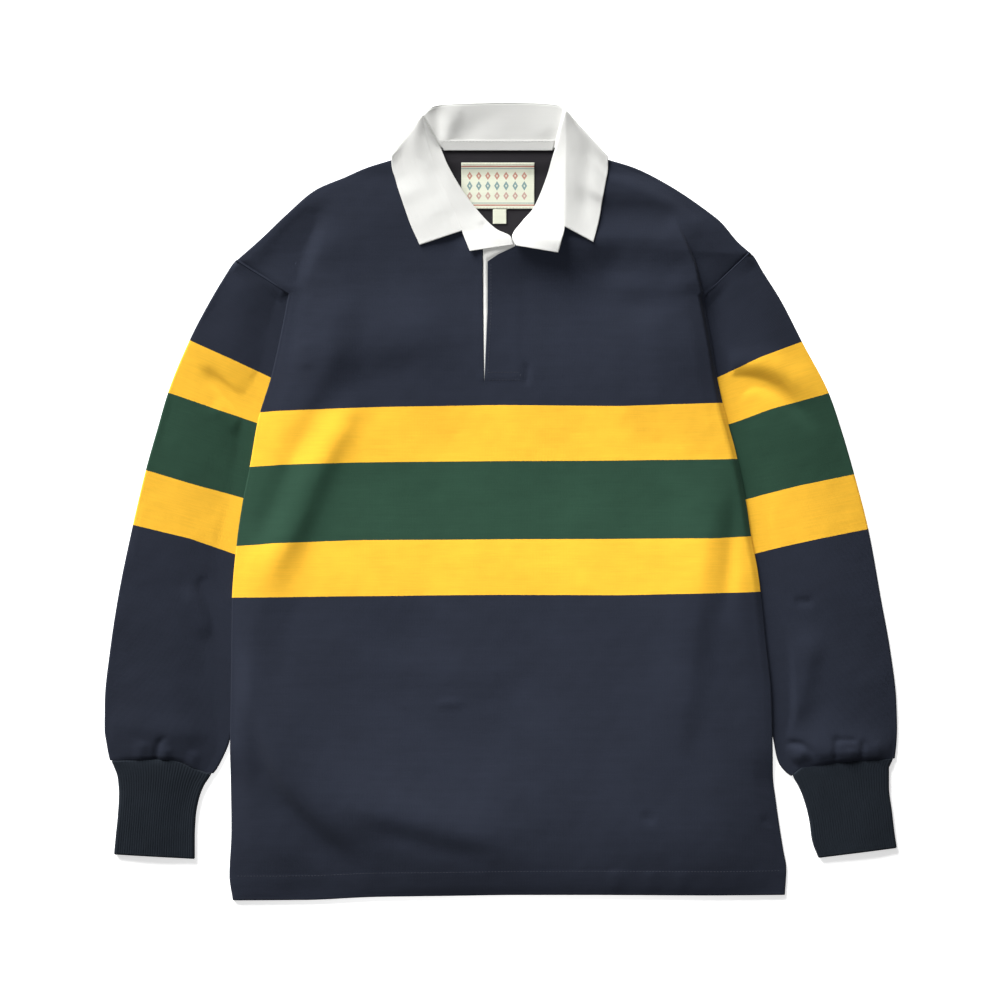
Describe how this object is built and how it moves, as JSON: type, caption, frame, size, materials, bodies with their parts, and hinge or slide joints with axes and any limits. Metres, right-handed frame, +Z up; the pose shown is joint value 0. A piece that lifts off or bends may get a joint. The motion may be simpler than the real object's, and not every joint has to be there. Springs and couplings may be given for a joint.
{
  "type": "rugby shirt",
  "caption": "Long-sleeved striped rugby shirt laid flat on its back, with a white twill collar, half placket and ribbed cuffs, sleeves turned down at its sides.",
  "frame": {"origin": "on the surface that the shirt lies on, under the middle of its outline", "axes": "+Z up off the surface, +Y from the hem to the collar, +X to the right as seen from above"},
  "size_m": [0.7926, 0.7983, 0.0165],
  "materials": {
    "jersey": "matt heavy cotton jersey, navy with yellow, green and yellow hoops",
    "rib": "matt ribbed knit, very dark navy",
    "twill": "matt white cotton twill",
    "label": "cream woven label, slight sheen"
  },
  "bodies": {
    "root": {"back": "jersey", "front": "jersey", "sleeve_left": "jersey", "sleeve_right": "jersey", "cuff_left": "rib", "cuff_right": "rib", "collar_stand": "twill", "collar_leaf": "twill", "placket_underlap": "twill", "neck_tape": "twill", "neck_label": "label", "size_tab": "label"}
  },
  "joints": []
}
